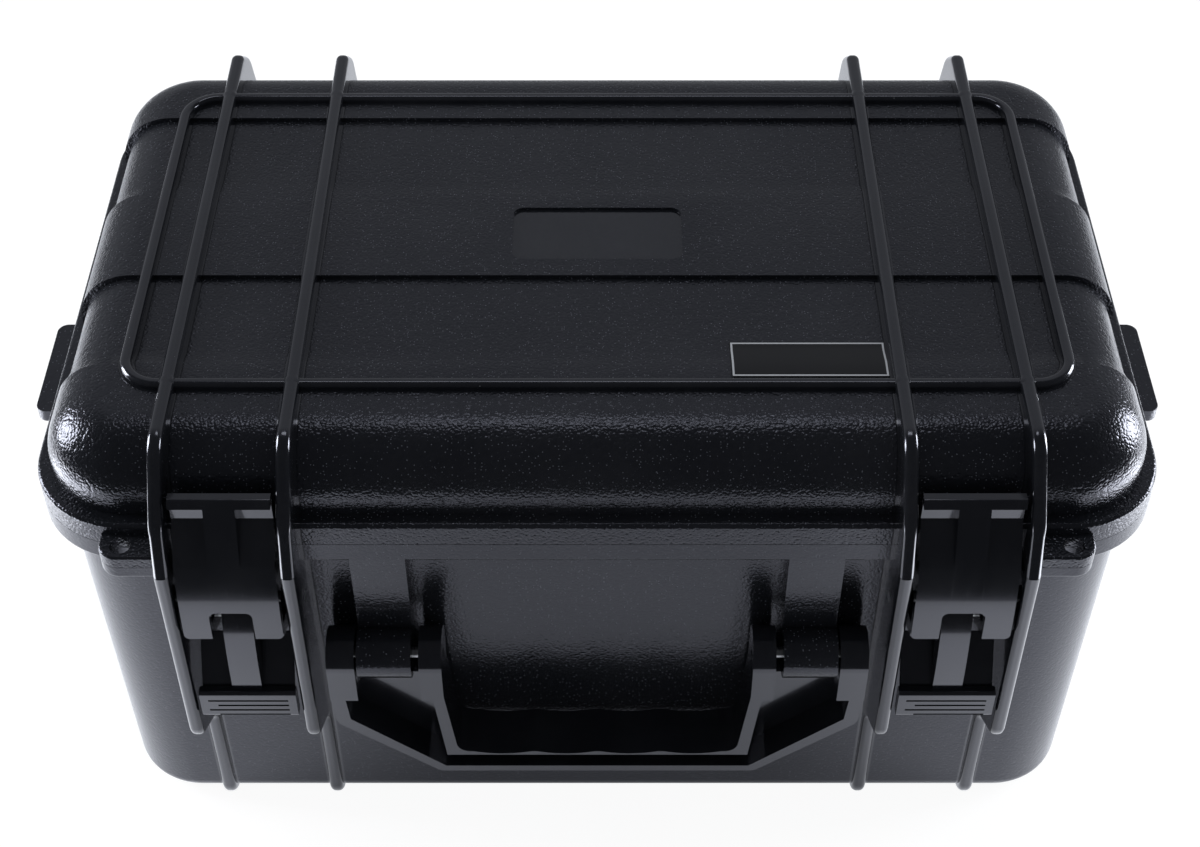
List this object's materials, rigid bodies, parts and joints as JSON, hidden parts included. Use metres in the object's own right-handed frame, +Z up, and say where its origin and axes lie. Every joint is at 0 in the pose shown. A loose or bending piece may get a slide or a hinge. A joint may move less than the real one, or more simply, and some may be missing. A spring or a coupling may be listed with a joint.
{
  "type": "micrometer case",
  "caption": "Moulded hard case for micrometers: deep base, hinged ribbed lid, pull latches between guard ribs, folding handle, padlock tabs and slotted foam.",
  "frame": {"origin": "on the ground under the middle of the case's overall box, at the bottom of the skid ribs", "axes": "+X to the right along the length, +Y from the latches to the hinges, +Z up"},
  "size_m": [0.4208, 0.2766, 0.209],
  "materials": {
    "shell": "satin",
    "smooth": "gloss",
    "steel": "satin",
    "foam": "matte",
    "seal": "matte",
    "label": "gloss"
  },
  "bodies": {
    "base": {"base_shell": "shell", "base_foam_pad": "foam", "foam_rail_front": "foam", "foam_rail_rear": "foam", "foam_end_left": "foam", "foam_end_right": "foam", "foam_divider_1": "foam", "foam_divider_2": "foam", "foam_divider_3": "foam", "foam_divider_4": "foam", "foam_divider_5": "foam", "left_base_tab": "shell", "right_base_tab": "shell", "left_hinge_pin": "steel", "right_hinge_pin": "steel", "left_latch_pin": "steel", "right_latch_pin": "steel", "left_handle_pin": "steel", "right_handle_pin": "steel"},
    "lid": {"lid_shell": "shell", "lid_foam": "foam", "lid_seal": "seal", "name_plate": "label", "left_lid_tab": "shell", "right_lid_tab": "shell"},
    "handle": {"handle": "smooth"},
    "left_lever": {"left_latch_lever": "smooth", "left_link_pin": "steel"},
    "left_hook": {"left_latch_hook": "smooth"},
    "right_lever": {"right_latch_lever": "smooth", "right_link_pin": "steel"},
    "right_hook": {"right_latch_hook": "smooth"}
  },
  "joints": [
    {"name": "lid_hinge", "type": "hinge", "parent": "base", "child": "lid", "pos_m": [0, 0.1296, 0.1665], "axis": [-1, 0, 0], "range_deg": [0, 100]},
    {"name": "handle_pivot", "type": "hinge", "parent": "base", "child": "handle", "pos_m": [0, -0.126, 0.1125], "axis": [-1, 0, 0], "range_deg": [0, 95]},
    {"name": "left_lever_pivot", "type": "hinge", "parent": "base", "child": "left_lever", "pos_m": [-0.1282, -0.1249, 0.143], "axis": [-1, 0, 0], "range_deg": [0, 90]},
    {"name": "left_hook_pivot", "type": "hinge", "parent": "left_lever", "child": "left_hook", "pos_m": [-0.1282, -0.1249, 0.134], "axis": [1, 0, 0], "range_deg": [0, 108]},
    {"name": "right_lever_pivot", "type": "hinge", "parent": "base", "child": "right_lever", "pos_m": [0.1282, -0.1249, 0.143], "axis": [-1, 0, 0], "range_deg": [0, 90]},
    {"name": "right_hook_pivot", "type": "hinge", "parent": "right_lever", "child": "right_hook", "pos_m": [0.1282, -0.1249, 0.134], "axis": [1, 0, 0], "range_deg": [0, 108]}
  ],
  "couplings": [
    {"joint": "left_hook_pivot", "follows": "left_lever_pivot", "ratio": 1.2},
    {"joint": "right_hook_pivot", "follows": "right_lever_pivot", "ratio": 1.2}
  ]
}
